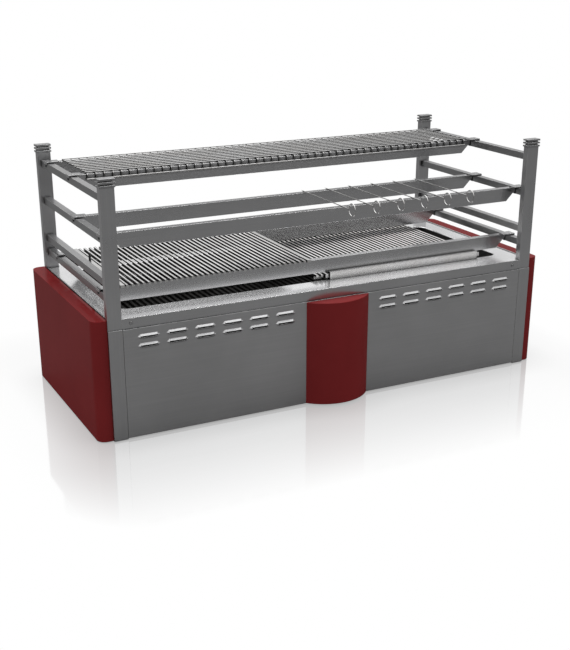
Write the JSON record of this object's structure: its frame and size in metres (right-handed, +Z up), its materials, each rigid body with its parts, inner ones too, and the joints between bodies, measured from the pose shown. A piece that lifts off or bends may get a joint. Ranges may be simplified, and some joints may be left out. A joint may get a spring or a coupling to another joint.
{
  "type": "charcoal grill",
  "caption": "Long konro charcoal grill with corner posts, stepped rungs and cross bars for mesh, rod grates and ring skewers, over a red body with a louvred ash drawer.",
  "frame": {"origin": "on the floor, under the middle of the bounding box", "axes": "+X to the viewer's right along the grill, +Y to the back, +Z up"},
  "size_m": [1.482, 0.66, 0.728],
  "materials": {
    "satin_steel": "satin",
    "polished_steel": "polished",
    "sheet_steel": "satin",
    "grate_steel": "satin",
    "red_paint": "gloss",
    "black_paint": "satin",
    "cast_iron": "rough",
    "foot_pad": "matte"
  },
  "bodies": {
    "grill_body": {"back_panel": "sheet_steel", "bottom_pan": "sheet_steel", "corner_cover_left": "sheet_steel", "corner_cover_right": "sheet_steel", "deck": "polished_steel", "drawer_runners": "sheet_steel", "feet": "foot_pad", "firebox": "sheet_steel", "front_top_rail": "polished_steel", "post_back_left": "satin_steel", "post_back_right": "satin_steel", "post_cap_back_left": "satin_steel", "post_cap_back_right": "satin_steel", "post_cap_front_left": "satin_steel", "post_cap_front_right": "satin_steel", "post_front_left": "satin_steel", "post_front_right": "satin_steel", "rail_screws": "satin_steel", "rung_first_left": "satin_steel", "rung_first_right": "satin_steel", "rung_fourth_left": "satin_steel", "rung_fourth_right": "satin_steel", "rung_second_left": "satin_steel", "rung_second_right": "satin_steel", "rung_third_left": "satin_steel", "rung_third_right": "satin_steel", "side_panel_left": "sheet_steel", "side_panel_right": "sheet_steel", "side_shell_left": "red_paint", "side_shell_right": "red_paint"},
    "drawer": {"drawer_front": "sheet_steel", "bowed_cover": "red_paint", "ash_tray": "sheet_steel", "drawer_slides": "sheet_steel"},
    "bar_first_back": {"cross_bar_first_back": "satin_steel", "bar_saddles_first_back": "black_paint"},
    "bar_first_mid": {"cross_bar_first_mid": "satin_steel", "bar_saddles_first_mid": "black_paint"},
    "bar_second_mid": {"cross_bar_second_mid": "satin_steel", "bar_saddles_second_mid": "black_paint"},
    "bar_second_front": {"cross_bar_second_front": "satin_steel", "bar_saddles_second_front": "black_paint"},
    "bar_fourth_back": {"cross_bar_fourth_back": "satin_steel", "bar_saddles_fourth_back": "black_paint"},
    "bar_fourth_front": {"cross_bar_fourth_front": "satin_steel", "bar_saddles_fourth_front": "black_paint"},
    "mesh": {"wire_mesh": "grate_steel"},
    "upper_rods": {"upper_grate": "grate_steel", "grate_pegs": "black_paint"},
    "lower_rods": {"lower_grate": "grate_steel"},
    "coal_grate_left": {"charcoal_grate_left": "cast_iron"},
    "coal_grate_right": {"charcoal_grate_right": "cast_iron"},
    "skewer_1_body": {"skewer_1": "grate_steel"},
    "skewer_2_body": {"skewer_2": "grate_steel"},
    "skewer_3_body": {"skewer_3": "grate_steel"},
    "skewer_4_body": {"skewer_4": "grate_steel"},
    "skewer_5_body": {"skewer_5": "grate_steel"},
    "skewer_6_body": {"skewer_6": "grate_steel"}
  },
  "joints": [
    {"name": "drawer_slide", "type": "slide", "parent": "grill_body", "child": "drawer", "axis": [0, -1, 0], "range_m": [0, 0.4]},
    {"name": "bar_first_back_slide", "type": "slide", "parent": "grill_body", "child": "bar_first_back", "axis": [0, 1, 0], "range_m": [-0.1, 0.04]},
    {"name": "bar_first_mid_slide", "type": "slide", "parent": "grill_body", "child": "bar_first_mid", "axis": [0, 1, 0], "range_m": [0, 0.08]},
    {"name": "bar_second_mid_slide", "type": "slide", "parent": "grill_body", "child": "bar_second_mid", "axis": [0, 1, 0], "range_m": [-0.1, 0.27]},
    {"name": "bar_second_front_slide", "type": "slide", "parent": "grill_body", "child": "bar_second_front", "axis": [0, 1, 0], "range_m": [-0.01, 0.08]},
    {"name": "bar_fourth_back_slide", "type": "slide", "parent": "grill_body", "child": "bar_fourth_back", "axis": [0, 1, 0], "range_m": [-0.08, 0.025]},
    {"name": "bar_fourth_front_slide", "type": "slide", "parent": "grill_body", "child": "bar_fourth_front", "axis": [0, 1, 0], "range_m": [0, 0.07]},
    {"name": "mesh_lift", "type": "slide", "parent": "grill_body", "child": "mesh", "axis": [0, 0, 1], "range_m": [0, 0.25]},
    {"name": "upper_rods_slide", "type": "slide", "parent": "grill_body", "child": "upper_rods", "axis": [1, 0, 0], "range_m": [0, 0.7]},
    {"name": "lower_rods_slide", "type": "slide", "parent": "grill_body", "child": "lower_rods", "axis": [1, 0, 0], "range_m": [-0.55, 0.07]},
    {"name": "coal_grate_left_lift", "type": "slide", "parent": "grill_body", "child": "coal_grate_left", "axis": [0, 0, 1], "range_m": [0, 0.08]},
    {"name": "coal_grate_right_lift", "type": "slide", "parent": "grill_body", "child": "coal_grate_right", "axis": [0, 0, 1], "range_m": [0, 0.08]},
    {"name": "skewer_1_roll", "type": "hinge", "parent": "grill_body", "child": "skewer_1_body", "pos_m": [0.043, -0.1, 0.57352], "axis": [0, 1, 0], "continuous": true},
    {"name": "skewer_2_roll", "type": "hinge", "parent": "grill_body", "child": "skewer_2_body", "pos_m": [0.1254, -0.1, 0.57352], "axis": [0, 1, 0], "continuous": true},
    {"name": "skewer_3_roll", "type": "hinge", "parent": "grill_body", "child": "skewer_3_body", "pos_m": [0.2078, -0.1, 0.57352], "axis": [0, 1, 0], "continuous": true},
    {"name": "skewer_4_roll", "type": "hinge", "parent": "grill_body", "child": "skewer_4_body", "pos_m": [0.2902, -0.1, 0.57352], "axis": [0, 1, 0], "continuous": true},
    {"name": "skewer_5_roll", "type": "hinge", "parent": "grill_body", "child": "skewer_5_body", "pos_m": [0.3726, -0.1, 0.57352], "axis": [0, 1, 0], "continuous": true},
    {"name": "skewer_6_roll", "type": "hinge", "parent": "grill_body", "child": "skewer_6_body", "pos_m": [0.455, -0.1, 0.57352], "axis": [0, 1, 0], "continuous": true}
  ]
}
